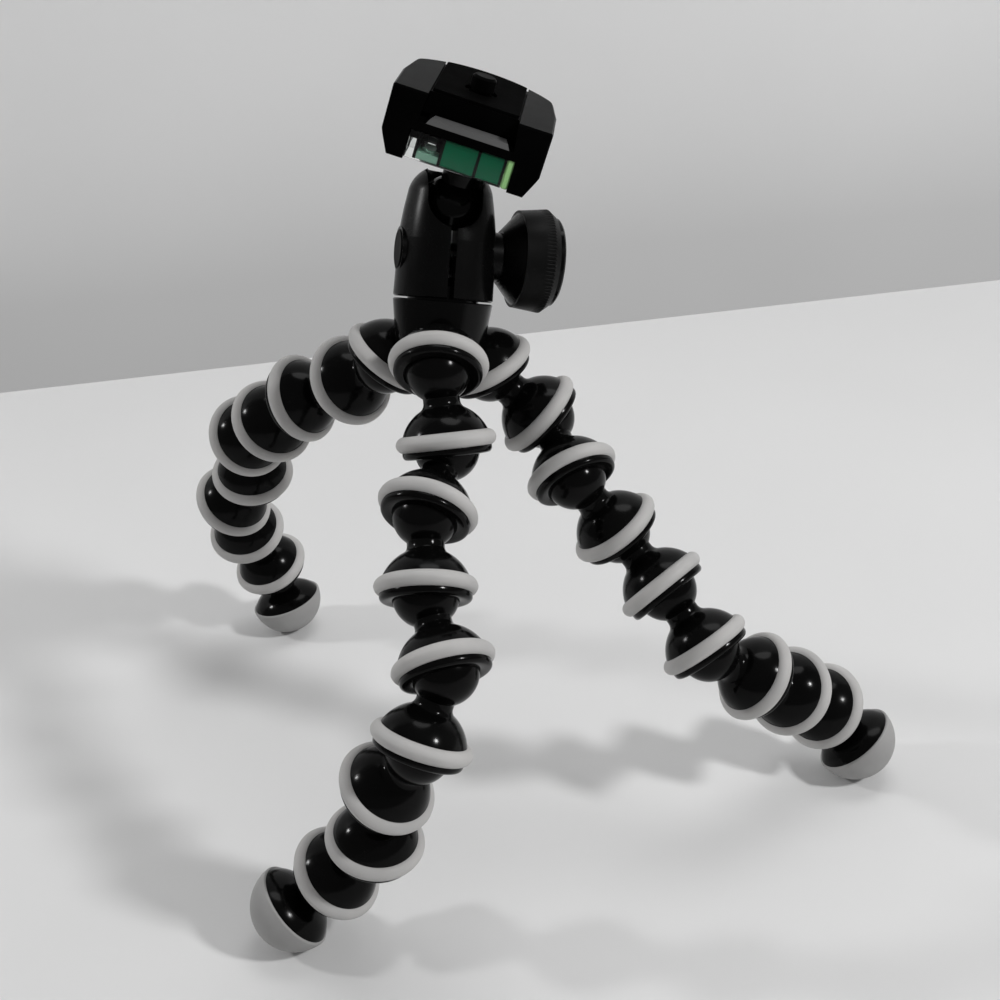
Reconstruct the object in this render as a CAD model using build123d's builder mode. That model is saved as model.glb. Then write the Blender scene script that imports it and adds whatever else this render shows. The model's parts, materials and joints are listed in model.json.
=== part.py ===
"""Flexible leg tripod: three legs of ball jointed links on a hub, and a small ball head with a
quick release deck. Millimetres, +Z up, feet on Z = 0, origin under the middle of the outline."""
import os
from math import asin, cos, degrees, radians, sin, sqrt

from build123d import *

os.makedirs("parts", exist_ok=True)

# Grip rings
ring_circle_radius = 10.85
ring_tube_radius = 2.15
ring_seat_radius = 9.9

# Leg links
link_pitch = 20.25
seat_drop = 2.05
ball_radius = 8.5
ball_clearance = 0.06
neck_radius = 4.75
neck_fillet = 2.2
core_radius = 2.4
dome_radius = 11.8
lip_radius = 11.6
lip_fillet = 1.2
lip_land = 0.2
lip_lead = 0.5
mouth_angle = 78.5

# Feet
foot_reach = 13.45
cap_radius = 12.3
cap_rim_fillet = 0.5
foot_dome_radius = 11.7
foot_dome_rise = 4.55
foot_bulge_share = 0.62
foot_plug_radius = 9.5
foot_plug_depth = 5.0

# Hub
hub_lean_angle = 23.0
hub_lean_heading = 68.5
hub_turn_heading = -91.0
arm_reach = 15.3
arm_tilt = 37.0
arm_dome_radius = 12.0
boss_bottom = -5.0
boss_radius = 11.9
boss_chamfer = 1.5
hub_screw_radius = 2.0
hub_screw_head_radius = 3.8
hub_screw_head_height = 2.0
hub_screw_top = 13.0
hub_socket_radius = 1.5
hub_socket_depth = 1.3
screw_slack = 0.3

# Collar under the head, as heights over the hub's centre
collar_bottom = 5.7
collar_top = 16.2
collar_bottom_radius = 12.0
collar_top_radius = 13.3
collar_edge = 0.3
spigot_radius = 9.5
spigot_height = 3.85
post_radius = 4.0
post_height = 2.35
pan_clearance = 0.05
thrust_gap = 0.1
washer_radius = 5.7
washer_thickness = 0.8
pan_screw_radius = 1.5
pan_screw_head_radius = 3.2
pan_screw_head_height = 1.9
pan_screw_depth = 7.0

# Clamp housing, as rises and drops from the head's ball
front_turn_angle = 12.0
pan_gap = 0.5
clamp_gap = 1.85
ball_gap = 0.75
housing_bottom_radius = 13.3
housing_waist_radius = 13.0
housing_waist_drop = 8.4
housing_side_radius = 12.3
housing_side_drop = 2.4
housing_shoulder_radius = 11.3
housing_shoulder_rise = 3.3
housing_crown_radius = 9.8
housing_crown_rise = 7.2
housing_rise = 9.9
housing_edge = 0.4
web_thickness = 2.0
recess_radius = 6.6
head_ball_radius = 8.8
head_ball_clearance = 0.05
opening_radius = 6.6
notch_half_width = 7.2
notch_drop = 5.5
notch_shift = -0.5
slit_width = 1.7
slit_shift = -1.0
seat_ring_drop = 9.15
seat_ring_inner_radius = 5.0
seat_step = 0.6

# Clamp screw and its bosses, along the clamp axis from the hub's axis
clamp_screw_radius = 1.95
clamp_screw_end_gap = 0.4
knob_boss_radius = 6.5
knob_boss_end = 14.2
cap_boss_radius = 5.9
cap_boss_end = 12.9
side_cap_radius = 5.2
side_cap_floor = 12.0
side_cap_end = 13.2
side_cap_chamfer = 0.3
nut_flats = 7.0
nut_thickness = 3.1
nut_clearance = 0.05

# Knob, along the clamp axis from the hub's axis
knob_start = 14.4
knob_start_radius = 7.2
knob_cone_end = 18.8
knob_cone_radius = 12.2
knob_core_radius = 11.2
grip_start_radius = 12.9
grip_radius = 13.85
grip_end = 26.3
knob_end = 28.2
knob_end_radius = 12.4
knob_hollow_radius = 9.0
knob_hollow_floor = 22.3
knob_screw_end = 21.8
rib_count = 88
rib_groove_radius = 0.3
knob_cap_radius = 11.8
knob_cap_thickness = 1.6
knob_cap_chamfer = 0.5
knob_cap_plug = 1.2

# Deck: lean of the ball's stem and sizes down from the tops of the deck's arms
deck_lean_angle = 20.5
deck_lean_heading = -1.0
deck_turn_heading = -6.0
deck_top = 31.6
deck_shift = -0.95
deck_width = 40.8
deck_back_width = 37.6
deck_front = 19.2
deck_side = 15.0
deck_back = 25.0
deck_corner = 6.0
deck_front_corner = 1.0
deck_depth = 17.2
deck_lower_chamfer = 2.7
deck_lower_rise = 5.8
deck_upper_edge = 0.5
arm_gap = 23.2
web_drop = 14.0
shelf_drop = 7.2
pad_drop = 5.9
pad_width = 21.5
pad_taper_angle = 30
back_wall = 7.85
back_wall_gap = 0.3
stem_radius = 4.5
stem_flange_radius = 7.0
stem_flange_height = 1.5
deck_screw_radius = 2.5
deck_screw_head_radius = 4.6
deck_screw_head_height = 2.4
deck_screw_depth = 12.0
deck_socket_radius = 1.6

# Spirit level in the deck's front
vial_length = 27.0
vial_height = 7.5
vial_drop = 9.3
vial_inset = 0.3
vial_thickness = 7.4
vial_edge = 0.4
vial_bore_radius = 3.4
left_wall = 2.6
right_wall = 2.3
bubble_radius = 2.9
bubble_lift = 0.35
bubble_gap = 0.4
line_shares = (-0.785, -0.341, 0.341)
line_width = 0.5
line_depth = 0.15
end_plug_length = 1.6

# Quick release plate
plate_rise = 0.3
plate_dovetail = 0.8
plate_clearance = 0.12
plate_front_inset = 5.6
pad_thickness = 0.8
pad_margin = 1.0
pad_back_inset = 1.2
camera_thread_radius = 3.175
camera_thread_height = 4.0
camera_shank_radius = 2.6
shank_rise = 0.5
camera_head_radius = 4.9
camera_head_height = 1.2
thread_chamfer = 0.6
pad_hole_gap = 1.0
thread_clearance = 0.1
coin_slot = 1.0

overrun = 1.0

# Headings and dips in degrees of each leg's links, hub to foot; the foot's dip comes from the floor
leg_angles = {
    "front": [(-84, 64), (-110, 29), (-94, 46), (-76, 38), (-134, 57), (153, 55), (149, 75), (157, 47)],
    "right": [(-9, 45), (-65, 35), (-13, 54), (-41, 41), (-42, 46), (13, 40), (40, 40), (36, 41)],
    "back": [(135, 31), (151, 25), (134, 38), (126, 32), (100, 65), (138, 46), (78, 60), (52, 65)],
}
foot_headings = {"front": -171, "right": -17, "back": -14}
front_foot_angle = 36
leg_turn = 360 / len(leg_angles)

spigot_top = collar_top + spigot_height
post_top = spigot_top + post_height
housing_bottom = collar_top + pan_gap
clamp_height = post_top + washer_thickness + pan_screw_head_height + clamp_gap + clamp_screw_radius
head_ball_height = clamp_height + clamp_screw_radius + ball_gap + head_ball_radius
housing_waist = head_ball_height - housing_waist_drop
housing_side = head_ball_height - housing_side_drop
housing_shoulder = head_ball_height + housing_shoulder_rise
housing_crown = head_ball_height + housing_crown_rise
housing_top = head_ball_height + housing_rise
notch_bottom = head_ball_height - notch_drop
seat_ring_bottom = head_ball_height - seat_ring_drop

socket_radius = ball_radius + ball_clearance
ball_reach = link_pitch - seat_drop
mouth_radius = socket_radius * sin(radians(mouth_angle))
mouth_level = -seat_drop - socket_radius * cos(radians(mouth_angle))
lip_level = mouth_level - lip_land
web_bottom = spigot_top + thrust_gap
cavity_radius = head_ball_radius + head_ball_clearance


def rise(radius, x):
    """Height of a circle of that radius at the distance x from its axis."""
    return sqrt(radius**2 - x**2)


def direction(heading, dip):
    """Unit vector at a heading from +X, dipping below level."""
    level = cos(radians(dip))
    return Vector(level * cos(radians(heading)), level * sin(radians(heading)), -sin(radians(dip)))


def leaning_plane(origin, lean, lean_heading, turn_heading):
    """Level plane leant over towards a heading, with its x axis over the turn heading."""
    up = direction(lean_heading, 0) * sin(radians(lean)) + Vector(0, 0, cos(radians(lean)))
    across = direction(turn_heading, 0)
    return Plane(origin, x_dir=(across - up * across.dot(up)).normalized(), z_dir=up)


def section(origin, axis):
    """Plane that holds an axis of turning: x away from the axis, y along it."""
    side = Plane(origin, z_dir=axis).x_dir
    return Plane(origin, x_dir=side, z_dir=side.cross(axis))


def leg_chain(leg, hub):
    """Ball centre, direction and ring centre of each link of a leg, after the hub's own ring."""
    turn = radians(leg_turn * list(leg_angles).index(leg))
    outward = hub.x_dir * cos(turn) + hub.y_dir * sin(turn)
    down = outward * sin(radians(arm_tilt)) - hub.z_dir * cos(radians(arm_tilt))
    ring = hub.origin + outward * arm_reach
    chain = [(None, down, ring)]
    for heading, dip in leg_angles[leg]:
        ball = ring + down * seat_drop
        down = direction(heading, dip)
        ring = ball + down * ball_reach
        chain.append((ball, down, ring))
    ball = ring + down * seat_drop
    over_foot = foot_reach * sin(radians(front_foot_angle))
    if leg != "front":
        over_foot = ball.Z - cap_radius
    down = direction(foot_headings[leg], degrees(asin(over_foot / foot_reach)))
    chain.append((ball, down, ball + down * foot_reach))
    return chain


def outline_middle(hub):
    """Middle of the rings' and feet's outline on the floor."""
    spans = {"X": [], "Y": []}
    for leg in leg_angles:
        chain = leg_chain(leg, hub)
        for name, span in spans.items():
            for _, down, ring in chain[:-1]:
                reach = ring_circle_radius * rise(1, getattr(down, name)) + ring_tube_radius
                span += [getattr(ring, name) - reach, getattr(ring, name) + reach]
            foot = getattr(chain[-1][2], name)
            span += [foot - cap_radius, foot + cap_radius]
    return Vector(*((min(span) + max(span)) / 2 for span in spans.values()), 0)


hub_pose = (hub_lean_angle, hub_lean_heading, hub_turn_heading)
front_foot = leg_chain("front", leaning_plane(Vector(0, 0, 0), *hub_pose))[-1][2]
over_floor = Vector(0, 0, cap_radius - front_foot.Z)
hub = leaning_plane(over_floor - outline_middle(leaning_plane(over_floor, *hub_pose)), *hub_pose)
front = hub.x_dir * cos(radians(front_turn_angle)) + hub.y_dir * sin(radians(front_turn_angle))
head = Plane(hub.origin, x_dir=front, z_dir=hub.z_dir)
hub_section = section(hub.origin, hub.z_dir)
hub_axis = Axis(hub.origin, hub.z_dir)
clamp_origin = head.from_local_coords((0, 0, clamp_height))
clamp_section = section(clamp_origin, head.y_dir)
clamp_axis = Axis(clamp_origin, head.y_dir)
ball_centre = head.from_local_coords((0, 0, head_ball_height))
deck = leaning_plane(ball_centre, deck_lean_angle, deck_lean_heading, deck_turn_heading)
stem_section = section(ball_centre, deck.z_dir)
stem_axis = Axis(ball_centre, deck.z_dir)
body_origin = deck.from_local_coords((deck_shift, 0, 0))


def deck_plane(height):
    """Plane across the deck at a height over the ball's centre, about the body's middle."""
    return Plane(body_origin + deck.z_dir * height, x_dir=deck.x_dir, z_dir=deck.z_dir)


def deck_profile_plane(depth=0):
    """Upright plane across the deck: x to the right, y up from the ball's centre."""
    return Plane(body_origin + deck.y_dir * depth, x_dir=deck.x_dir, z_dir=-deck.y_dir)


def turned(face, axis):
    """Solid of revolution of a face."""
    with BuildPart() as solid:
        revolve(face, axis=axis)
    return solid


def bar_face(plane, inner, outer, start, end):
    """Half section of a bar, or of a tube, between two heights on its axis."""
    with BuildSketch(plane) as face:
        with Locations(((inner + outer) / 2, (start + end) / 2)):
            Rectangle(outer - inner, abs(end - start))
    return face.sketch


def save(name, *pieces):
    """Writes one sub-part, of one solid or of pieces that touch."""
    solids = [solid for piece in pieces for solid in piece.part.solids()]
    shape = solids[0] if len(solids) == 1 else Compound(solids)
    shape.label = name
    export_step(shape, f"parts/{name}.step")


# Leg links

def ring_face(plane):
    """Half section of a grip ring, seated on a cylinder."""
    with BuildSketch(plane) as face:
        with Locations((ring_circle_radius, 0)):
            Circle(ring_tube_radius)
        with Locations((ring_seat_radius / 2, 0)):
            Rectangle(ring_seat_radius, 2 * ring_tube_radius, mode=Mode.SUBTRACT)
    return face.sketch


def socket_lines(start, dome, core):
    """Dome, side, lip, mouth and socket, from the dome's start to the socket's crown."""
    shoulder = (rise(dome, ring_tube_radius + seat_drop), ring_tube_radius)
    mouth = (mouth_radius, mouth_level)
    crown = (core, rise(socket_radius, core) - seat_drop)
    RadiusArc(start, shoulder, dome)
    Polyline(shoulder, (lip_radius, lip_level), (mouth_radius + lip_lead, lip_level), mouth)
    RadiusArc(mouth, crown, -socket_radius)
    return crown


def seat_ring():
    """Cuts the grip ring's seat into the sketch that is open."""
    seat_width = ring_seat_radius - (ring_circle_radius - ring_tube_radius)
    seat_height = 2 * rise(ring_tube_radius, ring_circle_radius - ring_seat_radius)
    with Locations((ring_circle_radius, 0)):
        Circle(ring_tube_radius, mode=Mode.SUBTRACT)
    with Locations((ring_seat_radius - seat_width / 2, 0)):
        Rectangle(seat_width, seat_height)


def link_face(plane):
    """Half section of a link: ball, neck, dome, grip seat, lip and socket."""
    top = (core_radius, ball_reach + rise(ball_radius, core_radius))
    neck_top = (neck_radius, ball_reach - rise(ball_radius, neck_radius))
    neck_foot = (neck_radius, rise(dome_radius, neck_radius) - seat_drop)
    with BuildSketch(plane) as face:
        with BuildLine():
            RadiusArc(top, neck_top, ball_radius)
            Line(neck_top, neck_foot)
            crown = socket_lines(neck_foot, dome_radius, core_radius)
            Line(crown, top)
        make_face()
        fillet(face.vertices().sort_by_distance(neck_foot)[0], neck_fillet)
        fillet(face.vertices().sort_by_distance((lip_radius, lip_level))[0], lip_fillet)
        seat_ring()
    return face.sketch


def foot_face(plane):
    """Half section of a foot link: ball, neck, flat dome and the plug inside the cap."""
    top = (core_radius, foot_reach + rise(ball_radius, core_radius))
    neck_top = (neck_radius, foot_reach - rise(ball_radius, neck_radius))
    neck_foot = (neck_radius, foot_dome_rise)
    bulge = (
        neck_radius + foot_bulge_share * (foot_dome_radius - neck_radius),
        foot_dome_rise * foot_bulge_share,
    )
    plug_level = -foot_plug_depth
    with BuildSketch(plane) as face:
        with BuildLine():
            RadiusArc(top, neck_top, ball_radius)
            Line(neck_top, neck_foot)
            ThreePointArc(neck_foot, bulge, (foot_dome_radius, 0))
            Polyline(
                (foot_dome_radius, 0),
                (foot_plug_radius, 0),
                (foot_plug_radius, plug_level),
                (core_radius, plug_level),
                top,
            )
        make_face()
    return face.sketch


def cap_face(plane):
    """Half section of a foot cap, a thick rubber hemisphere over the plug."""
    rim = (cap_radius, 0)
    bottom = (0, -cap_radius)
    floor_level = -foot_plug_depth
    with BuildSketch(plane) as face:
        with BuildLine():
            RadiusArc(rim, bottom, cap_radius)
            Polyline(
                bottom, (0, floor_level), (foot_plug_radius, floor_level), (foot_plug_radius, 0), rim
            )
        make_face()
        fillet(face.vertices().sort_by_distance(rim)[0], cap_rim_fillet)
    return face.sketch


for leg in leg_angles:
    chain = leg_chain(leg, hub)
    for number, (_, down, ring) in enumerate(chain[1:-1], 1):
        plane = section(ring, -down)
        axis = Axis(ring, down)
        save(f"{leg}_link_{number}", turned(link_face(plane), axis), turned(ring_face(plane), axis))
    _, down, foot = chain[-1]
    plane = section(foot, -down)
    axis = Axis(foot, down)
    save(f"{leg}_foot_link", turned(foot_face(plane), axis))
    save(f"{leg}_foot_cap", turned(cap_face(plane), axis))


# Hub

def arm_face(plane):
    """Half section of a hub arm: dome, grip seat, lip and socket."""
    pole = (0, arm_dome_radius - seat_drop)
    with BuildSketch(plane) as face:
        with BuildLine():
            crown = socket_lines(pole, arm_dome_radius, 0)
            Line(crown, pole)
        make_face()
        fillet(face.vertices().sort_by_distance((lip_radius, lip_level))[0], lip_fillet)
        seat_ring()
    return face.sketch


def collar_seat_face():
    """Half section of the room that the collar takes in the hub, and all above it."""
    slope = (collar_top_radius - collar_bottom_radius) / (collar_top - collar_edge - collar_bottom)
    top = collar_top + overrun
    with BuildSketch(hub_section) as face:
        with BuildLine():
            Polyline(
                (0, collar_bottom),
                (collar_bottom_radius, collar_bottom),
                (collar_bottom_radius + slope * (top - collar_bottom), top),
                (0, top),
                close=True,
            )
        make_face()
    return face.sketch


def boss_face():
    """Half section of the hub's middle, with its screw hole."""
    hole = hub_screw_radius + screw_slack
    with BuildSketch(hub_section) as face:
        with BuildLine():
            Polyline(
                (hole, boss_bottom),
                (boss_radius - boss_chamfer, boss_bottom),
                (boss_radius, boss_bottom + boss_chamfer),
                (boss_radius, collar_bottom),
                (hole, collar_bottom),
                close=True,
            )
        make_face()
    return face.sketch


arms = [leg_chain(leg, hub)[0][1:] for leg in leg_angles]
with BuildPart() as hub_grip_rings:
    for down, ring in arms:
        revolve(ring_face(section(ring, -down)), axis=Axis(ring, down))
with BuildPart() as hub_arms:
    for down, ring in arms:
        revolve(arm_face(section(ring, -down)), axis=Axis(ring, down))
    with Locations(*(ring + down * seat_drop for down, ring in arms)):
        Sphere(socket_radius, mode=Mode.SUBTRACT)
with BuildPart() as hub_body:
    revolve(boss_face(), axis=hub_axis)
    for down, ring in arms:
        with Locations(ring + down * seat_drop):
            Sphere(arm_dome_radius, mode=Mode.SUBTRACT)
        revolve(ring_face(section(ring, -down)), axis=Axis(ring, down), mode=Mode.SUBTRACT)
    add(hub_arms.part)
    revolve(collar_seat_face(), axis=hub_axis, mode=Mode.SUBTRACT)


def hub_screw_face():
    """Half section of the screw from below that holds the collar on the hub."""
    head_bottom = boss_bottom - hub_screw_head_height
    with BuildSketch(hub_section) as face:
        with BuildLine():
            Polyline(
                (0, hub_screw_top),
                (hub_screw_radius, hub_screw_top),
                (hub_screw_radius, boss_bottom),
                (hub_screw_head_radius, boss_bottom),
                (hub_screw_head_radius, head_bottom),
                (hub_socket_radius, head_bottom),
                (hub_socket_radius, head_bottom + hub_socket_depth),
                (0, head_bottom + hub_socket_depth),
                close=True,
            )
        make_face()
    return face.sketch


save("hub_body", hub_body)
save("hub_grip_rings", hub_grip_rings)
save("hub_screw", turned(hub_screw_face(), hub_axis))


# Pan base

def collar_face():
    """Half section of the collar, its spigot and its post."""
    hub_bore = hub_screw_radius
    pan_floor = post_top - pan_screw_depth
    with BuildSketch(hub_section) as face:
        with BuildLine():
            Polyline(
                (hub_bore, collar_bottom),
                (collar_bottom_radius, collar_bottom),
                (collar_top_radius, collar_top - collar_edge),
                (collar_top_radius - collar_edge, collar_top),
                (spigot_radius, collar_top),
                (spigot_radius, spigot_top),
                (post_radius, spigot_top),
                (post_radius, post_top),
                (pan_screw_radius, post_top),
                (pan_screw_radius, pan_floor),
                (0, pan_floor),
                (0, hub_screw_top),
                (hub_bore, hub_screw_top),
                close=True,
            )
        make_face()
    return face.sketch


def pan_screw_face():
    """Half section of the screw in the post."""
    head_bottom = post_top + washer_thickness
    head_top = head_bottom + pan_screw_head_height
    with BuildSketch(hub_section) as face:
        with BuildLine():
            Polyline(
                (0, post_top - pan_screw_depth),
                (pan_screw_radius, post_top - pan_screw_depth),
                (pan_screw_radius, head_bottom),
                (pan_screw_head_radius, head_bottom),
                (pan_screw_head_radius, head_top),
                (0, head_top),
                close=True,
            )
        make_face()
    return face.sketch


save("head_collar", turned(collar_face(), hub_axis))
washer_top = post_top + washer_thickness
washer = bar_face(hub_section, pan_screw_radius, washer_radius, post_top, washer_top)
save("pan_washer", turned(washer, hub_axis))
save("pan_screw", turned(pan_screw_face(), hub_axis))


# Clamp housing

def housing_face():
    """Outer half section of the housing, without its hollows."""
    with BuildSketch(hub_section) as face:
        with BuildLine():
            Polyline(
                (0, housing_top),
                (0, housing_bottom),
                (housing_bottom_radius - housing_edge, housing_bottom),
                (housing_bottom_radius, housing_bottom + housing_edge),
                (housing_waist_radius, housing_waist),
            )
            ThreePointArc(
                (housing_waist_radius, housing_waist),
                (housing_side_radius, housing_side),
                (housing_shoulder_radius, housing_shoulder),
            )
            ThreePointArc(
                (housing_shoulder_radius, housing_shoulder),
                (housing_crown_radius, housing_crown),
                (opening_radius, housing_top),
            )
            Line((opening_radius, housing_top), (0, housing_top))
        make_face()
    return face.sketch


def hollow_face():
    """Half section of the bores under the ball: spigot room, post bore and recess."""
    web_top = web_bottom + web_thickness
    bore = post_radius + pan_clearance
    spigot_room = spigot_radius + pan_clearance
    with BuildSketch(hub_section) as face:
        with BuildLine():
            Polyline(
                (0, housing_bottom - overrun),
                (spigot_room, housing_bottom - overrun),
                (spigot_room, web_bottom),
                (bore, web_bottom),
                (bore, web_top),
                (recess_radius - seat_step, web_top),
                (recess_radius - seat_step, seat_ring_bottom),
                (recess_radius, seat_ring_bottom),
                (recess_radius, head_ball_height),
                (0, head_ball_height),
                close=True,
            )
        make_face()
    return face.sketch


nut_start = -side_cap_floor
nut_plane = Plane(clamp_origin + head.y_dir * nut_start, x_dir=head.x_dir, z_dir=head.y_dir)
front_plane = Plane(head.origin, x_dir=head.y_dir, z_dir=head.x_dir)
nut_corner = nut_flats / sqrt(3)
nut_room_corner = nut_corner + nut_clearance

with BuildPart() as clamp_housing:
    revolve(housing_face(), axis=hub_axis)
    revolve(bar_face(clamp_section, 0, knob_boss_radius, 0, knob_boss_end), axis=clamp_axis)
    revolve(bar_face(clamp_section, 0, cap_boss_radius, -cap_boss_end, 0), axis=clamp_axis)
    revolve(hollow_face(), axis=hub_axis, mode=Mode.SUBTRACT)
    opening = bar_face(hub_section, 0, opening_radius, head_ball_height, housing_top + overrun)
    revolve(opening, axis=hub_axis, mode=Mode.SUBTRACT)
    with Locations(ball_centre):
        Sphere(cavity_radius, mode=Mode.SUBTRACT)
    with BuildSketch(front_plane):
        with Locations((notch_shift, notch_bottom + notch_half_width)):
            Circle(notch_half_width)
        notch_top = housing_top + overrun
        notch_height = notch_top - notch_bottom - notch_half_width
        with Locations((notch_shift, notch_top - notch_height / 2)):
            Rectangle(2 * notch_half_width, notch_height)
        with Locations((slit_shift, (housing_bottom + notch_bottom) / 2)):
            Rectangle(slit_width, notch_bottom - housing_bottom + 2 * overrun)
    extrude(amount=housing_bottom_radius + overrun, mode=Mode.SUBTRACT)
    bore_radius = clamp_screw_radius + pan_clearance
    bore = bar_face(clamp_section, 0, bore_radius, -side_cap_floor, knob_boss_end + overrun)
    revolve(bore, axis=clamp_axis, mode=Mode.SUBTRACT)
    with BuildSketch(nut_plane):
        RegularPolygon(nut_room_corner, 6)
    extrude(amount=nut_thickness, mode=Mode.SUBTRACT)
    with BuildSketch(nut_plane):
        Circle(side_cap_radius)
    extrude(amount=-(cap_boss_end - side_cap_floor + overrun), mode=Mode.SUBTRACT)

with BuildPart() as clamp_nut:
    with BuildSketch(nut_plane):
        RegularPolygon(nut_corner, 6)
        Circle(bore_radius, mode=Mode.SUBTRACT)
    extrude(amount=nut_thickness)

with BuildPart() as side_cap:
    with BuildSketch(nut_plane):
        Circle(side_cap_radius)
    extrude(amount=-(side_cap_end - side_cap_floor))
    chamfer(side_cap.faces().sort_by(clamp_axis)[0].edges(), side_cap_chamfer)


def seat_face():
    """Half section of the nylon ring that carries the ball."""
    inner = seat_ring_inner_radius
    outer = recess_radius
    inner_top = head_ball_height - rise(cavity_radius, inner)
    outer_top = head_ball_height - rise(cavity_radius, outer)
    with BuildSketch(hub_section) as face:
        with BuildLine():
            Polyline(
                (outer, outer_top), (outer, seat_ring_bottom), (inner, seat_ring_bottom), (inner, inner_top)
            )
            RadiusArc((inner, inner_top), (outer, outer_top), -cavity_radius)
        make_face()
    return face.sketch


save("clamp_housing", clamp_housing)
save("clamp_nut", clamp_nut)
save("side_cap", side_cap)
save("ball_seat", turned(seat_face(), hub_axis))


# Knob

def knob_core_face():
    """Half section of the knob's core, with the screw's bore and the hollow under the cap."""
    with BuildSketch(clamp_section) as face:
        with BuildLine():
            Polyline(
                (clamp_screw_radius, knob_start),
                (knob_start_radius, knob_start),
                (knob_cone_radius, knob_cone_end),
                (knob_core_radius, knob_cone_end),
                (knob_core_radius, knob_end),
                (knob_hollow_radius, knob_end),
                (knob_hollow_radius, knob_hollow_floor),
                (0, knob_hollow_floor),
                (0, knob_screw_end),
                (clamp_screw_radius, knob_screw_end),
                close=True,
            )
        make_face()
    return face.sketch


def grip_face():
    """Half section of the knob's rubber grip."""
    with BuildSketch(clamp_section) as face:
        with BuildLine():
            Polyline(
                (knob_core_radius, knob_cone_end),
                (grip_start_radius, knob_cone_end),
                (grip_radius, grip_end),
                (knob_end_radius, knob_end),
                (knob_core_radius, knob_end),
                close=True,
            )
        make_face()
    return face.sketch


def knob_cap_face():
    """Half section of the disc on the knob's outer end and of its plug."""
    with BuildSketch(clamp_section) as face:
        with BuildLine():
            Polyline(
                (0, knob_end - knob_cap_plug),
                (knob_hollow_radius, knob_end - knob_cap_plug),
                (knob_hollow_radius, knob_end),
                (knob_cap_radius, knob_end),
                (knob_cap_radius, knob_end + knob_cap_thickness - knob_cap_chamfer),
                (knob_cap_radius - knob_cap_chamfer, knob_end + knob_cap_thickness),
                (0, knob_end + knob_cap_thickness),
                close=True,
            )
        make_face()
    return face.sketch


rib_plane = Plane(clamp_origin + head.y_dir * knob_cone_end, x_dir=head.x_dir, z_dir=head.y_dir)
with BuildPart() as knob_grip:
    revolve(grip_face(), axis=clamp_axis)
    with BuildSketch(rib_plane):
        with PolarLocations(grip_radius, rib_count):
            Circle(rib_groove_radius)
    extrude(amount=knob_end - knob_cone_end, mode=Mode.SUBTRACT)

save("knob_core", turned(knob_core_face(), clamp_axis))
save("knob_grip", knob_grip)
save("knob_cap", turned(knob_cap_face(), clamp_axis))
screw_start = clamp_screw_end_gap - side_cap_floor
screw = bar_face(clamp_section, 0, clamp_screw_radius, screw_start, knob_screw_end)
save("clamp_screw", turned(screw, clamp_axis))


# Ball and stem

web_level = deck_top - web_drop
shelf_level = deck_top - shelf_drop
pad_level = deck_top - pad_drop
deck_floor = deck_top - deck_depth
head_top = pad_level - plate_clearance


def stem_face():
    """Half section of the head's ball, its stem and the flange under the deck."""
    flange_level = web_level - stem_flange_height
    bore_floor = head_top - deck_screw_depth
    with BuildSketch(stem_section) as face:
        with BuildLine():
            ThreePointArc(
                (0, -head_ball_radius), (head_ball_radius, 0), (stem_radius, rise(head_ball_radius, stem_radius))
            )
            Polyline(
                (stem_radius, rise(head_ball_radius, stem_radius)),
                (stem_radius, flange_level),
                (stem_flange_radius, flange_level),
                (stem_flange_radius, web_level),
                (deck_screw_radius, web_level),
                (deck_screw_radius, bore_floor),
                (0, bore_floor),
                (0, -head_ball_radius),
            )
        make_face()
    return face.sketch


def deck_screw_face():
    """Half section of the sunk screw that holds the deck on the stem."""
    head_bottom = head_top - deck_screw_head_height
    socket_floor = head_top - deck_screw_head_height / 2
    with BuildSketch(stem_section) as face:
        with BuildLine():
            Polyline(
                (0, head_top - deck_screw_depth),
                (deck_screw_radius, head_top - deck_screw_depth),
                (deck_screw_radius, head_bottom),
                (deck_screw_head_radius, head_bottom),
                (deck_screw_head_radius, head_top),
                (deck_socket_radius, head_top),
                (deck_socket_radius, socket_floor),
                (0, socket_floor),
                close=True,
            )
        make_face()
    return face.sketch


save("ball_stem", turned(stem_face(), stem_axis))
deck_screw = turned(deck_screw_face(), stem_axis)
save("deck_screw", deck_screw)


# Deck

def deck_sketch(height):
    """Plan of the deck: straight front, sides that draw in, and a back that is one arc."""
    half = deck_width / 2
    back_half = deck_back_width / 2
    with BuildSketch(deck_plane(height)) as face:
        with BuildLine():
            Polyline(
                (-back_half, deck_side),
                (-half, 0),
                (-half, -deck_front),
                (half, -deck_front),
                (half, 0),
                (back_half, deck_side),
            )
            ThreePointArc((back_half, deck_side), (0, deck_back), (-back_half, deck_side))
        make_face()
        fillet(face.vertices().group_by(Axis.Y)[-1], deck_corner)
    return face.sketch


def channel_face():
    """Section of the plate's dovetail channel, open at the top."""
    half = arm_gap / 2
    with BuildSketch(deck_profile_plane()) as face:
        with BuildLine():
            Polyline(
                (-half - plate_dovetail, shelf_level),
                (half + plate_dovetail, shelf_level),
                (half, deck_top - plate_dovetail),
                (half, deck_top + overrun),
                (-half, deck_top + overrun),
                (-half, deck_top - plate_dovetail),
                close=True,
            )
        make_face()
    return face.sketch


vial_floor = deck_top - vial_drop - vial_height
vial_middle = deck_top - vial_drop - vial_height / 2
vial_front = deck_front - vial_inset
vial_depth = vial_front - vial_thickness / 2
channel_back = deck_back - back_wall
plate_top = deck_top + plate_rise
metal_top = plate_top - pad_thickness

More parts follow.
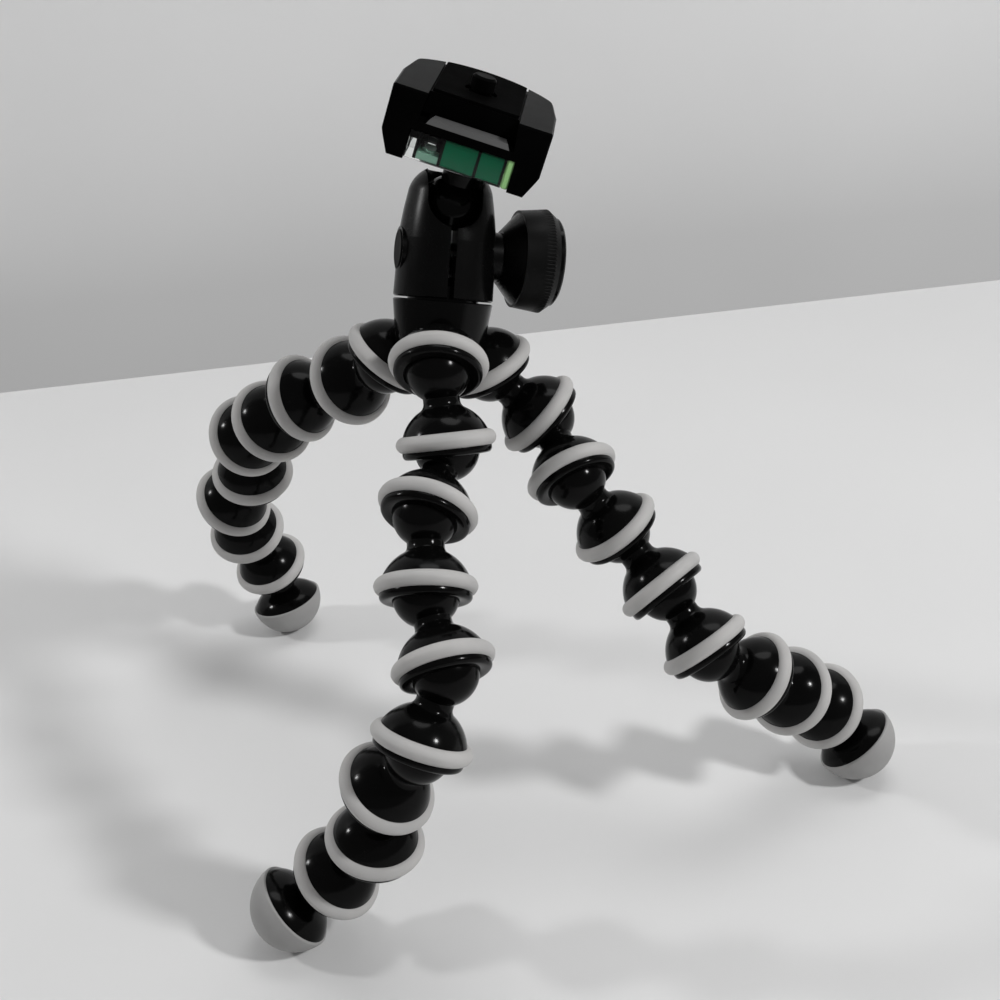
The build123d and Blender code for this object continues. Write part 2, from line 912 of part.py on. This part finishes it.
with BuildPart() as deck_body:
    extrude(deck_sketch(deck_floor), amount=deck_depth)
    back_axis = Axis(ball_centre, deck.y_dir)
    bottom = deck_body.faces().sort_by(stem_axis)[0]
    chamfer(bottom.edges().sort_by(back_axis)[1:], deck_lower_chamfer, deck_lower_rise, reference=bottom)
    fillet(deck_body.edges().filter_by(stem_axis).group_by(back_axis)[0], deck_front_corner)
    chamfer(deck_body.faces().sort_by(stem_axis)[-1].edges(), deck_upper_edge)
    extrude(channel_face(), amount=deck_front + overrun, mode=Mode.SUBTRACT)
    extrude(channel_face(), amount=-channel_back, mode=Mode.SUBTRACT)
    with BuildSketch(deck_plane(metal_top - back_wall_gap)):
        with Locations((0, channel_back - overrun)):
            Rectangle(arm_gap, deck_back, align=(Align.CENTER, Align.MIN))
    extrude(amount=deck_depth, mode=Mode.SUBTRACT)
    with BuildSketch(deck_plane(web_level)):
        with Locations((0, -vial_depth + vial_thickness / 2)):
            Rectangle(vial_length, 2 * deck_back + deck_front, align=(Align.CENTER, Align.MIN))
    extrude(amount=-deck_depth, mode=Mode.SUBTRACT)
    with BuildSketch(deck_plane(vial_floor - overrun)):
        with Locations((0, -vial_front + vial_thickness)):
            Rectangle(vial_length, deck_front + overrun, align=(Align.CENTER, Align.MAX))
    extrude(amount=vial_height + overrun, mode=Mode.SUBTRACT)
    with BuildSketch(deck_plane(shelf_level)):
        with Locations((0, -deck_front)):
            Rectangle(pad_width, deck_front + channel_back, align=(Align.CENTER, Align.MIN))
    extrude(amount=pad_level - shelf_level, taper=pad_taper_angle)
    revolve(deck_screw_face(), axis=stem_axis, mode=Mode.SUBTRACT)

save("deck_body", deck_body)


# Spirit level

vial_origin = body_origin + deck.z_dir * vial_middle - deck.y_dir * vial_depth
vial_section = section(vial_origin, deck.x_dir)
vial_axis = Axis(vial_origin, deck.x_dir)
line_outer = vial_bore_radius + line_depth
liquid_left = vial_length / 2 - left_wall
liquid_right = vial_length / 2 - right_wall
bubble_place = bubble_radius + bubble_gap - liquid_left

liquid_face = bar_face(vial_section, 0, vial_bore_radius, -liquid_left, liquid_right)


def line_face(share):
    """Half section of a line round the vial."""
    start = share * vial_length / 2 - line_width / 2
    return bar_face(vial_section, vial_bore_radius, line_outer, start, start + line_width)


with BuildPart() as vial_lines:
    for share in line_shares:
        revolve(line_face(share), axis=vial_axis)

with BuildPart() as vial_bubble:
    with Locations(vial_origin + deck.z_dir * bubble_lift + deck.x_dir * bubble_place):
        Sphere(bubble_radius)

with BuildPart() as vial_liquid:
    revolve(liquid_face, axis=vial_axis)
    add(vial_bubble.part, mode=Mode.SUBTRACT)

with BuildPart() as vial_block:
    vial_plane = Plane(vial_origin, x_dir=deck.x_dir, z_dir=deck.z_dir)
    with BuildSketch(vial_plane.offset(-vial_height / 2)):
        Rectangle(vial_length - end_plug_length, vial_thickness, align=(Align.CENTER, Align.CENTER))
    extrude(amount=vial_height)
    fillet(vial_block.edges().filter_by(vial_axis), vial_edge)
    revolve(liquid_face, axis=vial_axis, mode=Mode.SUBTRACT)
    for share in line_shares:
        revolve(line_face(share), axis=vial_axis, mode=Mode.SUBTRACT)

save("vial_block", vial_block)
save("vial_liquid", vial_liquid)
save("vial_bubble", vial_bubble)
save("vial_lines", vial_lines)


def end_plug(side):
    """Plug at one end of the vial block."""
    reach = vial_length / 2
    inner = reach - end_plug_length / 2
    with BuildPart() as plug:
        plug_plane = Plane(vial_origin + deck.x_dir * side * inner, x_dir=deck.y_dir, z_dir=deck.x_dir * side)
        with BuildSketch(plug_plane):
            RectangleRounded(vial_thickness, vial_height, vial_edge)
        extrude(amount=reach - inner)
    return plug


save("vial_end_left", end_plug(-1))
save("vial_end_right", end_plug(1))


# Quick release plate

plate_level = pad_level + plate_clearance
plate_front = deck_front - plate_front_inset
plate_back = channel_back - plate_clearance
plate_length = plate_front + plate_back
thread_bore = camera_thread_radius + thread_clearance
thread_top = plate_top + camera_thread_height
screw_section = section(body_origin, deck.z_dir)
screw_axis = Axis(body_origin, deck.z_dir)


def plate_face():
    """Section of the plate, a dovetail that slides in the channel."""
    half = arm_gap / 2 - plate_clearance
    lean = plate_dovetail / (deck_top - plate_dovetail - shelf_level)
    foot_half = half + lean * (deck_top - plate_dovetail - plate_level)
    top_half = half + lean * (deck_top - plate_dovetail - metal_top)
    with BuildSketch(deck_profile_plane(-plate_front)) as face:
        with BuildLine():
            Polyline(
                (-foot_half, plate_level),
                (foot_half, plate_level),
                (top_half, metal_top),
                (-top_half, metal_top),
                close=True,
            )
        make_face()
    return face.sketch


def camera_screw_face():
    """Half section of the camera screw: head, shank and thread."""
    head_top = plate_level + camera_head_height
    with BuildSketch(screw_section) as face:
        with BuildLine():
            Polyline(
                (0, plate_level),
                (camera_head_radius, plate_level),
                (camera_head_radius, head_top),
                (camera_shank_radius, head_top),
                (camera_shank_radius, plate_top + shank_rise),
                (camera_thread_radius, plate_top + shank_rise),
                (camera_thread_radius, thread_top),
                (0, thread_top),
                close=True,
            )
        make_face()
    return face.sketch


with BuildPart() as camera_screw:
    revolve(camera_screw_face(), axis=screw_axis)
    chamfer(camera_screw.faces().sort_by(screw_axis)[-1].edges(), thread_chamfer)
    with BuildSketch(deck_plane(plate_level)):
        Rectangle(2 * camera_head_radius, coin_slot)
    extrude(amount=camera_head_height / 2, mode=Mode.SUBTRACT)

with BuildPart() as release_plate:
    extrude(plate_face(), amount=-plate_length)
    with BuildSketch(deck_plane(plate_level)):
        Circle(camera_head_radius + thread_clearance)
    extrude(amount=camera_head_height + thread_clearance, mode=Mode.SUBTRACT)
    with BuildSketch(deck_plane(plate_level)):
        Circle(thread_bore)
    extrude(amount=deck_depth, mode=Mode.SUBTRACT)

with BuildPart() as plate_pad:
    back_rise = deck_back - deck_side
    back_radius = (deck_back_width**2 / 4 + back_rise**2) / (2 * back_rise)
    with BuildSketch(deck_plane(metal_top)) as pad_plan:
        with Locations((0, deck_back - back_radius)):
            Circle(back_radius - pad_back_inset)
        with Locations((0, pad_margin / 2 - plate_front)):
            Rectangle(
                arm_gap - pad_margin,
                2 * deck_back,
                align=(Align.CENTER, Align.MIN),
                mode=Mode.INTERSECT,
            )
        fillet(pad_plan.vertices(), pad_margin)
        Circle(thread_bore + pad_hole_gap, mode=Mode.SUBTRACT)
    extrude(amount=pad_thickness)

save("camera_screw", camera_screw)
save("release_plate", release_plate)
save("plate_pad", plate_pad)
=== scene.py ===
"""Looks of the flexible leg tripod: detailed links and grips, spirit level, materials, stage,
light and camera."""
import json
import math

import bpy
from mathutils import Matrix, Vector


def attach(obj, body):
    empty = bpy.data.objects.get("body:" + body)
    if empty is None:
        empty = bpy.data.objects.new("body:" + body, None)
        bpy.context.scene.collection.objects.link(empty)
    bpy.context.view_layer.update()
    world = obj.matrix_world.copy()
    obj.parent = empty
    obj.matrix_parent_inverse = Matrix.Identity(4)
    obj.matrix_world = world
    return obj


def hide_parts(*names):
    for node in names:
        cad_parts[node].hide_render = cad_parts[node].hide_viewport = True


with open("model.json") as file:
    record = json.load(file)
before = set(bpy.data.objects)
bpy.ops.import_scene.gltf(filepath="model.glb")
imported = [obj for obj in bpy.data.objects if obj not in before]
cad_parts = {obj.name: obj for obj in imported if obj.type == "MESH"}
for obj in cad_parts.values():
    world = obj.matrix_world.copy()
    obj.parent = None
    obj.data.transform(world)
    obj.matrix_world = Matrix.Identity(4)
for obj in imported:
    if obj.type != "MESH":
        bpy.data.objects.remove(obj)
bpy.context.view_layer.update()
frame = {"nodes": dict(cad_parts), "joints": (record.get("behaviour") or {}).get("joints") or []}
joints = {joint["name"]: joint for joint in frame["joints"]}
mm = 0.001

# Sizes of the links, in millimetres; levels are along a link's axis, from its ring's middle
link_pitch = 20.25
seat_drop = 2.05
ball_reach = link_pitch - seat_drop
ball_radius = 8.5
ball_fillet = 0.3
neck_radius = 4.75
neck_fillet = 2.2
dome_radius = 11.8
seat_radius = 10.2
seat_inset = 0.15
seat_foot = -1.6
lip_top = -1.75
lip_edge = 0.35
lip_radius = 11.6
lip_level = -3.96
lip_fillet = 1.2
lip_lead = 0.5
mouth_radius = 8.39
mouth_level = -3.76
socket_radius = 8.56
ring_circle_radius = 10.85
ring_tube_radius = 2.15
seam_height = 0.05

# Angles of the links, the first three in degrees
socket_lead = 3
socket_end = 20
seam_width = 6
arm_tilt = math.radians(37)
link_turn = math.radians(77)

legs = ("front", "right", "back")
links_per_leg = 8

# Meshes: points of outlines, the angle of a sharp edge, and how near a point on the axis is
ring_points = 32
neck_fillet_points = 3
corner_steps = 4
sharp_angle = math.radians(38)
axis_reach = 1e-6

# Noise values that take the first and the last of a range
noise_low = 0.3
noise_high = 0.7


# Materials

def shader(name, color, roughness, metallic=0.0, ior=1.5, transmission=0.0):
    """A principled material with its plain values set."""
    material = bpy.data.materials.new(name)
    material.use_nodes = True
    main = material.node_tree.nodes["Principled BSDF"]
    main.inputs["Base Color"].default_value = (*color, 1)
    main.inputs["Roughness"].default_value = roughness
    main.inputs["Metallic"].default_value = metallic
    main.inputs["IOR"].default_value = ior
    main.inputs["Transmission Weight"].default_value = transmission
    return material, material.node_tree, main


def noise(tree, scale, detail, rough=0.5, stretch=None):
    """Noise in object coordinates, in cycles per metre."""
    coords = tree.nodes.new("ShaderNodeTexCoord")
    texture = tree.nodes.new("ShaderNodeTexNoise")
    texture.inputs["Scale"].default_value = scale
    texture.inputs["Detail"].default_value = detail
    texture.inputs["Roughness"].default_value = rough
    source = coords.outputs["Object"]
    if stretch:
        mapping = tree.nodes.new("ShaderNodeMapping")
        mapping.inputs["Scale"].default_value = stretch
        tree.links.new(source, mapping.inputs["Vector"])
        source = mapping.outputs["Vector"]
    tree.links.new(source, texture.inputs["Vector"])
    return texture.outputs["Fac"]


def spread(tree, value, low, high):
    """Maps a noise to a range of numbers."""
    remap = tree.nodes.new("ShaderNodeMapRange")
    remap.inputs["From Min"].default_value = noise_low
    remap.inputs["From Max"].default_value = noise_high
    remap.inputs["To Min"].default_value = low
    remap.inputs["To Max"].default_value = high
    tree.links.new(value, remap.inputs["Value"])
    return remap.outputs["Result"]


def tint(tree, value, low, high):
    """Maps a noise to a range of colours."""
    ramp = tree.nodes.new("ShaderNodeValToRGB")
    ramp.color_ramp.elements[0].position = noise_low
    ramp.color_ramp.elements[0].color = (*low, 1)
    ramp.color_ramp.elements[1].position = noise_high
    ramp.color_ramp.elements[1].color = (*high, 1)
    tree.links.new(value, ramp.inputs["Fac"])
    return ramp.outputs["Color"]


def bump(tree, main, value, depth):
    """Raises the surface by a noise, to a depth in metres."""
    node = tree.nodes.new("ShaderNodeBump")
    node.inputs["Strength"].default_value = 1.0
    node.inputs["Distance"].default_value = depth
    tree.links.new(value, node.inputs["Height"])
    tree.links.new(node.outputs["Normal"], main.inputs["Normal"])


def moulded(name, low, high, smooth, worn, grain, depth, ior=1.5):
    """Moulded plastic or rubber: uneven colour and gloss, with a fine grain."""
    material, tree, main = shader(name, low, smooth, ior=ior)
    patches = noise(tree, scale=60, detail=6)
    gloss = noise(tree, scale=140, detail=5)
    tree.links.new(tint(tree, patches, low, high), main.inputs["Base Color"])
    tree.links.new(spread(tree, gloss, smooth, worn), main.inputs["Roughness"])
    bump(tree, main, noise(tree, grain, detail=3), depth)
    return material


def turned_steel():
    """Turned steel with fine marks."""
    material, tree, main = shader("steel", grey(0.5), roughness=0.3, metallic=1.0)
    marks = noise(tree, scale=800, detail=4, rough=0.6, stretch=(1, 1, 12))
    tree.links.new(tint(tree, marks, grey(0.42), grey(0.58)), main.inputs["Base Color"])
    tree.links.new(spread(tree, marks, 0.24, 0.4), main.inputs["Roughness"])
    bump(tree, main, marks, depth=0.00001)
    return material


def clear(name, color, roughness, ior):
    """Clear plastic or liquid."""
    material, tree, main = shader(name, color, roughness, ior=ior, transmission=1.0)
    bump(tree, main, noise(tree, scale=500, detail=2), depth=0.000002)
    return material


def grey(level, warm=0.0):
    """A near neutral colour."""
    return (level * (1 + warm), level, level * (1 - warm))


# Darkest and lightest colour, least and most roughness, the grain in cycles per metre, its depth
# in metres, and the index of refraction where it isn't 1.5
moulded_looks = {
    "bead_black": (grey(0.0012), grey(0.003), 0.13, 0.18, 900, 0.00001, 1.19),
    "grip_grey": (grey(0.4, 0.01), grey(0.485, 0.02), 0.55, 0.7, 2600, 0.00003),
    "foot_grey": (grey(0.28, 0.01), grey(0.34, 0.01), 0.55, 0.7, 2200, 0.00004),
    "housing_black": (grey(0.0012), grey(0.003), 0.22, 0.3, 3200, 0.00001, 1.19),
    "collar_black": (grey(0.0012), grey(0.0025), 0.1, 0.16, 700, 0.000005, 1.2),
    "knob_black": (grey(0.003), grey(0.006), 0.34, 0.44, 3600, 0.00002, 1.18),
    "deck_black": (grey(0.001), grey(0.002), 0.18, 0.24, 4200, 0.000004, 1.045),
    "pad_black": (grey(0.001), grey(0.002), 0.7, 0.8, 5000, 0.00002, 1.04),
    "plate_black": (grey(0.001), grey(0.002), 0.4, 0.5, 4200, 0.00001, 1.05),
    "stud_black": (grey(0.0012), grey(0.003), 0.3, 0.4, 4200, 0.00001, 1.05),
    # The ledge's pale grey is a painted reflection of the light on its sloped face, not the
    # ledge's own colour
    "ledge_painted_reflection": (grey(0.085), grey(0.105), 0.35, 0.45, 3000, 0.000005, 1.3),
    "nylon_white": (grey(0.62), grey(0.7), 0.4, 0.5, 1500, 0.00001),
    "line_black": (grey(0.001), grey(0.002), 0.5, 0.6, 2000, 0.00001, 1.1),
    "plug_green": ((0.3, 0.62, 0.22), (0.4, 0.72, 0.3), 0.25, 0.35, 1200, 0.00001),
    "liquid_deep": ((0.0, 0.115, 0.05), (0.0, 0.145, 0.065), 0.3, 0.4, 300, 0.000001, 1.2),
    "liquid_thin": ((0.14, 0.34, 0.24), (0.22, 0.44, 0.33), 0.2, 0.3, 300, 0.000001),
}
looks = {name: moulded(name, *values) for name, values in moulded_looks.items()}
looks["steel"] = turned_steel()
looks["block_clear"] = clear("block_clear", (0.96, 0.99, 0.97), roughness=0.02, ior=1.33)
looks["bubble_clear"] = clear("bubble_clear", (0.95, 1.0, 0.97), roughness=0.0, ior=0.7)

# Looks of the nodes that aren't part of a leg
finishes = {
    "hub_body": "bead_black", "hub_grip_rings": "grip_grey", "hub_screw": "steel",
    "head_collar": "collar_black", "pan_washer": "steel", "pan_screw": "steel",
    "clamp_housing": "housing_black", "clamp_nut": "steel", "side_cap": "stud_black",
    "ball_seat": "nylon_white", "knob_core": "housing_black", "knob_grip": "knob_black",
    "knob_cap": "collar_black", "clamp_screw": "steel", "ball_stem": "collar_black",
    "deck_screw": "steel", "deck_body": "deck_black", "vial_block": "block_clear",
    "vial_liquid": "liquid_deep", "vial_bubble": "bubble_clear", "vial_lines": "line_black",
    "vial_end_left": "block_clear", "vial_end_right": "plug_green",
    "camera_screw": "stud_black", "release_plate": "plate_black", "plate_pad": "pad_black",
}
for name, obj in frame["nodes"].items():
    leg_look = "foot_grey" if name.endswith("foot_cap") else "bead_black"
    obj.data.materials.clear()
    obj.data.materials.append(looks[finishes.get(name, leg_look)])


# Meshes and objects

def smooth_mesh(name, verts, faces, look):
    """Mesh that is smooth but for its sharp edges."""
    mesh = bpy.data.meshes.new(name)
    mesh.from_pydata([tuple(vert) for vert in verts], [], faces)
    mesh.validate()
    for polygon in mesh.polygons:
        polygon.use_smooth = True
    mesh.set_sharp_from_angle(angle=sharp_angle)
    mesh.materials.append(looks[look])
    return mesh


def add_object(name, data):
    """Object in the scene's own collection."""
    obj = bpy.data.objects.new(name, data)
    bpy.context.scene.collection.objects.link(obj)
    return obj


def carry(obj, body, *replaced):
    """Puts an object on a body, and in the place of the nodes that are named."""
    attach(obj, body)
    if replaced:
        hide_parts(*replaced)
    return obj


# Turned pieces: an outline of (radius, height) turned about the height axis

def arc(center, radius, start, end, steps):
    """Points on a circle about a point on the axis; angles in degrees from the axis."""
    points = []
    for step in range(steps + 1):
        angle = math.radians(start + (end - start) * step / steps)
        points.append((radius * math.sin(angle), center + radius * math.cos(angle)))
    return points


def rounded(a, b, c, radius, steps):
    """A rounded corner at b between a and c."""
    a, b, c = Vector(a), Vector(b), Vector(c)
    into = (a - b).normalized()
    out = (c - b).normalized()
    half = into.angle(out) / 2
    back = radius / math.tan(half)
    middle = b + (into + out).normalized() * radius / math.sin(half)
    first = (b + into * back) - middle
    last = (b + out * back) - middle
    turn = first.angle_signed(last)
    points = []
    for step in range(steps + 1):
        angle = -turn * step / steps
        x = first.x * math.cos(angle) - first.y * math.sin(angle)
        y = first.x * math.sin(angle) + first.y * math.cos(angle)
        points.append((middle.x + x, middle.y + y))
    return points


def lathe(name, outline, segments, look, closed=False):
    """Mesh of an outline in millimetres turned about z."""
    verts = []
    rows = []
    for radius, height in outline:
        if radius < axis_reach:
            rows.append([len(verts)] * segments)
            verts.append((0, 0, height * mm))
            continue
        rows.append(list(range(len(verts), len(verts) + segments)))
        for k in range(segments):
            angle = 2 * math.pi * k / segments
            across = radius * mm
            verts.append((across * math.cos(angle), across * math.sin(angle), height * mm))
    pairs = list(zip(rows, rows[1:]))
    if closed:
        pairs.append((rows[-1], rows[0]))
    faces = []
    for upper, lower in pairs:
        for k in range(segments):
            after = (k + 1) % segments
            face = []
            for index in (upper[k], lower[k], lower[after], upper[after]):
                if index not in face:
                    face.append(index)
            if len(face) > 2:
                faces.append(face)
    return smooth_mesh(name, verts, faces, look)


def place(name, mesh, origin, up, turn, body, replaced):
    """Puts a turned piece on a body, in the place of a node."""
    obj = add_object(name, mesh)
    upright = Vector((0, 0, 1)).rotation_difference(up).to_matrix().to_4x4()
    obj.matrix_world = Matrix.Translation(origin) @ upright @ Matrix.Rotation(turn, 4, "Z")
    return carry(obj, body, replaced)


def reach_angle(radius, x):
    """Angle in degrees at which a circle about a point on the axis is x from the axis."""
    return math.degrees(math.asin(x / radius))


def link_outline():
    """Ball, neck, dome, ring seat, rolled lip and socket of a link."""
    neck = 180 - reach_angle(ball_radius, neck_radius)
    dome_start = reach_angle(dome_radius, neck_radius)
    shoulder = 90 - reach_angle(dome_radius, ring_tube_radius + seat_drop)
    socket_start = 180 - reach_angle(socket_radius, mouth_radius) - socket_lead
    ball = arc(ball_reach, ball_radius, 0, neck, steps=28)
    dome = arc(-seat_drop, dome_radius, dome_start, shoulder, steps=18)
    lip_inner = (seat_radius, lip_top)
    lip_upper = (lip_radius, lip_top)
    lip_lower = (lip_radius, lip_level)
    mouth = (mouth_radius, lip_level)
    fillet_end = dome[neck_fillet_points]
    outline = ball[:-2] + rounded(ball[-2], ball[-1], dome[0], ball_fillet, steps=3)
    outline += rounded(ball[-1], dome[0], fillet_end, neck_fillet, steps=8)
    outline += dome[neck_fillet_points + 1:]
    outline += [(seat_radius, ring_tube_radius - seat_inset), (seat_radius, seat_foot)]
    outline += [(lip_radius - lip_edge, lip_top)]
    outline += rounded(lip_inner, lip_upper, lip_lower, lip_edge, steps=3)
    outline += rounded(lip_upper, lip_lower, mouth, lip_fillet, steps=6)
    outline += [(mouth_radius + lip_lead, lip_level), (mouth_radius, mouth_level)]
    outline += arc(-seat_drop, socket_radius, socket_start, socket_end, steps=16)
    return outline


def ring_outline():
    """A grip ring with a faint ridge where its mould closed."""
    points = []
    for step in range(ring_points):
        angle = 2 * math.pi * step / ring_points
        ridge = seam_height * math.exp(-((math.degrees(angle) - 180) / seam_width) ** 2)
        radius = ring_tube_radius + ridge
        points.append((ring_circle_radius - radius * math.cos(angle), radius * math.sin(angle)))
    return points


bead_mesh = lathe("bead", link_outline(), 96, "bead_black")
ring_mesh = lathe("grip_ring", ring_outline(), 120, "grip_grey", closed=True)
hub_up = Vector(joints["head_pan"]["axis"])
hub_origin = Vector(joints["head_pan"]["pos_m"])

for leg in legs:
    centres = [Vector(joints[f"{leg}_ball_{k}"]["pos_m"]) for k in range(1, links_per_leg + 2)]
    arm = centres[0] - hub_origin
    outward = (arm - hub_up * arm.dot(hub_up)).normalized()
    down = outward * math.sin(arm_tilt) - hub_up * math.cos(arm_tilt)
    ring = centres[0] - down * seat_drop * mm
    grip = place(f"{leg}_hub_ring", ring_mesh, ring, -down, 0, "hub", "hub_grip_rings")
    for k in range(1, links_per_leg + 1):
        down = (centres[k] - centres[k - 1]).normalized()
        ring = centres[k] - down * seat_drop * mm
        turn = k * link_turn
        link = f"{leg}_link_{k}"
        bead = place(f"{link}_bead", bead_mesh, ring, -down, turn, link, link)
        grip = place(f"{link}_grip", ring_mesh, ring, -down, turn, link, link)


# Spirit level: a clear block, and in it the deep green liquid and the thin part beside the
# bubble, in millimetres along the deck's x axis and across it

deck_z_dir = Vector(joints["camera_screw_turn"]["axis"])
deck_y_dir = -Vector(joints["plate_slide"]["axis"])
deck_x_dir = deck_y_dir.cross(deck_z_dir)
deck_middle = Vector(joints["plate_slide"]["pos_m"])
vial_rise = 18.55
vial_front = 15.2
vial_size = (7.4, 7.5)
vial_corner = 0.45
end_corner = 0.3
end_easing = 0.25
vial_left = -13.45
vial_right = 11.85
plug_right = 13.5
bore_radius = 3.35
bore_size = (2 * bore_radius, 2.1 * bore_radius)
bore_corner = 0.8
liquid_right = 11.5
thin_top = -1.4
line_places = (-10.9, -4.6, 4.6, 11.3)
line_half = 0.4
line_proud = 0.14


def on_deck(x, y, z):
    """Point of the deck's frame, in millimetres from its middle at the ball's level."""
    return deck_middle + (deck_x_dir * x + deck_y_dir * y + deck_z_dir * z) * mm


def rounded_rectangle(width, height, radius):
    """Points round a rectangle with round corners."""
    points = []
    for quarter, (sx, sy) in enumerate(((1, 1), (-1, 1), (-1, -1), (1, -1))):
        for step in range(corner_steps + 1):
            angle = math.radians(90 * quarter + 90 * step / corner_steps)
            x = sx * (width / 2 - radius) + radius * math.cos(angle)
            y = sy * (height / 2 - radius) + radius * math.sin(angle)
            points.append((x, y))
    return points


def bar(name, sections, look, *replaced):
    """Closed bar on the deck through sections along its x axis: (x, points across it)."""
    verts = []
    count = len(sections[0][1])
    for x, points in sections:
        verts += [on_deck(x, y - vial_front, z + vial_rise) for y, z in points]
    faces = [list(range(count)), list(range(len(verts) - 1, len(verts) - count - 1, -1))]
    for row in range(len(sections) - 1):
        for k in range(count):
            a = row * count + k
            b = row * count + (k + 1) % count
            faces.append([a, a + count, b + count, b])
    return carry(add_object(name, smooth_mesh(name, verts, faces, look)), "deck", *replaced)


def eased(left, right_end):
    """Sections of a bar with eased ends."""
    full = rounded_rectangle(*vial_size, vial_corner)
    small = rounded_rectangle(*(side - 2 * end_easing for side in vial_size), end_corner)
    return [(left, small), (left + end_easing, full),
            (right_end - end_easing, full), (right_end, small)]


bore = rounded_rectangle(*bore_size, bore_corner)
line_frame = rounded_rectangle(*(side + line_proud for side in bore_size), bore_corner)
thin_part = [(y, min(z, thin_top)) for y, z in bore]
bubble_left, bubble_right = line_places[:2]
shell = bar("vial_shell", eased(vial_left, vial_right), "block_clear",
            "vial_block", "vial_end_left")
deep = bar("vial_liquid_deep", [(bubble_right, bore), (liquid_right, bore)], "liquid_deep",
           "vial_liquid")
thin = bar("vial_liquid_thin", [(bubble_left, thin_part), (bubble_right, thin_part)],
           "liquid_thin", "vial_liquid")
for index, middle in enumerate(line_places):
    sections = [(middle - line_half, line_frame), (middle + line_half, line_frame)]
    line = bar(f"vial_line_{index + 1}", sections, "line_black", "vial_lines")
plug = bar("vial_plug", eased(vial_right, plug_right), "plug_green", "vial_end_right")


# Painted reflection on the ledge in front of the plate: a thin pale grey skin on the deck's own
# ledge, whose grey stands in for the lamp light that the sloped face reflects

skin = 0.04
ledge_shift = 0.5
ledge_rows = [(10.7, -19.16, 24.46), (9.96, -18.45, 25.7), (9.2, -13.7, 25.7)]
ledge_verts = []
for lift in (0, skin):
    for half_width, y, z in ledge_rows:
        for x in (-half_width, half_width):
            ledge_verts.append(on_deck(x + ledge_shift, y - lift, z + lift))
ledge_faces = [[6, 7, 9, 8], [8, 9, 11, 10], [1, 0, 2, 3], [3, 2, 4, 5], [0, 1, 7, 6]]
ledge_faces += [[5, 4, 10, 11], [2, 0, 6, 8], [4, 2, 8, 10], [1, 3, 9, 7], [3, 5, 11, 9]]
# This skin carries the painted reflection of the ledge's sloped face
ledge_mesh = smooth_mesh("deck_ledge_painted_reflection", ledge_verts, ledge_faces, "ledge_painted_reflection")
carry(add_object("deck_ledge_painted_reflection", ledge_mesh), "deck")


# Stage, light and camera. The camera was fitted to the photograph: its directions, its place, and
# its focal length over the width of its frame

right = Vector((0.997874, -0.031701, -0.056943))
below = Vector((-0.065172, -0.482063, -0.873709))
ahead = Vector((0.000247, 0.875563, -0.483104))
eye = Vector((-0.00654, -0.36392, 0.2934))
focal = 1.4524
sensor_width = 36
frame_size = 1000
horizon_left = 393
horizon_right = 280
floor_margin = 1.5
floor_depth = 3
wall_foot = Vector((0, 0, -0.4))
wall_top = Vector((0, 0, 1.6))
wall_gap = 0.12
lamp_target = Vector((0, 0, 0.09))
sky_strength = 0.22


def floor_point(x, y):
    """Point of the floor that the camera sees at a place of its frame, in pixels."""
    from_left = (x - frame_size / 2) / frame_size / focal
    from_top = (y - frame_size / 2) / frame_size / focal
    ray = ahead + right * from_left + below * from_top
    return eye + ray * (-eye.z / ray.z)


def add_stage(name, points, low, high):
    """One flat piece of the stage, of a pale matt material with faint shading."""
    material, tree, main = shader(name, low, roughness=0.9)
    shading = tint(tree, noise(tree, scale=5, detail=2), low, high)
    tree.links.new(shading, main.inputs["Base Color"])
    main.inputs["Specular IOR Level"].default_value = 0.1
    mesh = bpy.data.meshes.new(name)
    mesh.from_pydata([tuple(point) for point in points], [], [list(range(len(points)))])
    mesh.materials.append(material)
    add_object(name, mesh)


def add_lamp(name, heading, rise, distance, size, power):
    """Area light that looks at the tripod's middle."""
    data = bpy.data.lights.new(name, "AREA")
    data.shape = "DISK"
    data.size = size
    data.energy = power
    obj = add_object(name, data)
    a, b = math.radians(heading), math.radians(rise)
    away = Vector((math.cos(b) * math.cos(a), math.cos(b) * math.sin(a), math.sin(b)))
    obj.location = lamp_target + away * distance
    obj.rotation_euler = away.to_track_quat("Z", "Y").to_euler()


far_left = floor_point(0, horizon_left)
far_right = floor_point(frame_size, horizon_right)
along = (far_right - far_left).normalized()
toward = Vector((along.y, -along.x, 0))
edge_left = far_left - along * floor_margin
edge_right = far_right + along * floor_margin
near = toward * floor_depth
floor = [edge_left, edge_left + near, edge_right + near, edge_right]
wall = [edge_left + wall_foot, edge_right + wall_foot, edge_right + wall_top, edge_left + wall_top]
add_stage("floor", floor, grey(0.7), grey(0.73))
add_stage("wall", [point - toward * wall_gap for point in wall], grey(0.82), grey(0.86))

add_lamp("key_light", heading=-30, rise=38, distance=1.3, size=0.15, power=9)
add_lamp("side_light", heading=175, rise=31, distance=1.3, size=0.13, power=4)
add_lamp("top_light", heading=60, rise=70, distance=1.5, size=1.0, power=8)

world = bpy.data.worlds.new("studio")
bpy.context.scene.world = world
world.use_nodes = True
sky = world.node_tree.nodes["Background"]
sky.inputs["Color"].default_value = (1, 1, 1, 1)
sky.inputs["Strength"].default_value = sky_strength

camera_data = bpy.data.cameras.new("camera")
camera_data.sensor_width = sensor_width
camera_data.lens = sensor_width * focal
camera = add_object("camera", camera_data)
columns = Matrix((right, -below, -ahead)).transposed()
camera.matrix_world = Matrix.Translation(eye) @ columns.to_4x4()
bpy.context.scene.camera = camera
bpy.context.scene.view_settings.view_transform = "Standard"
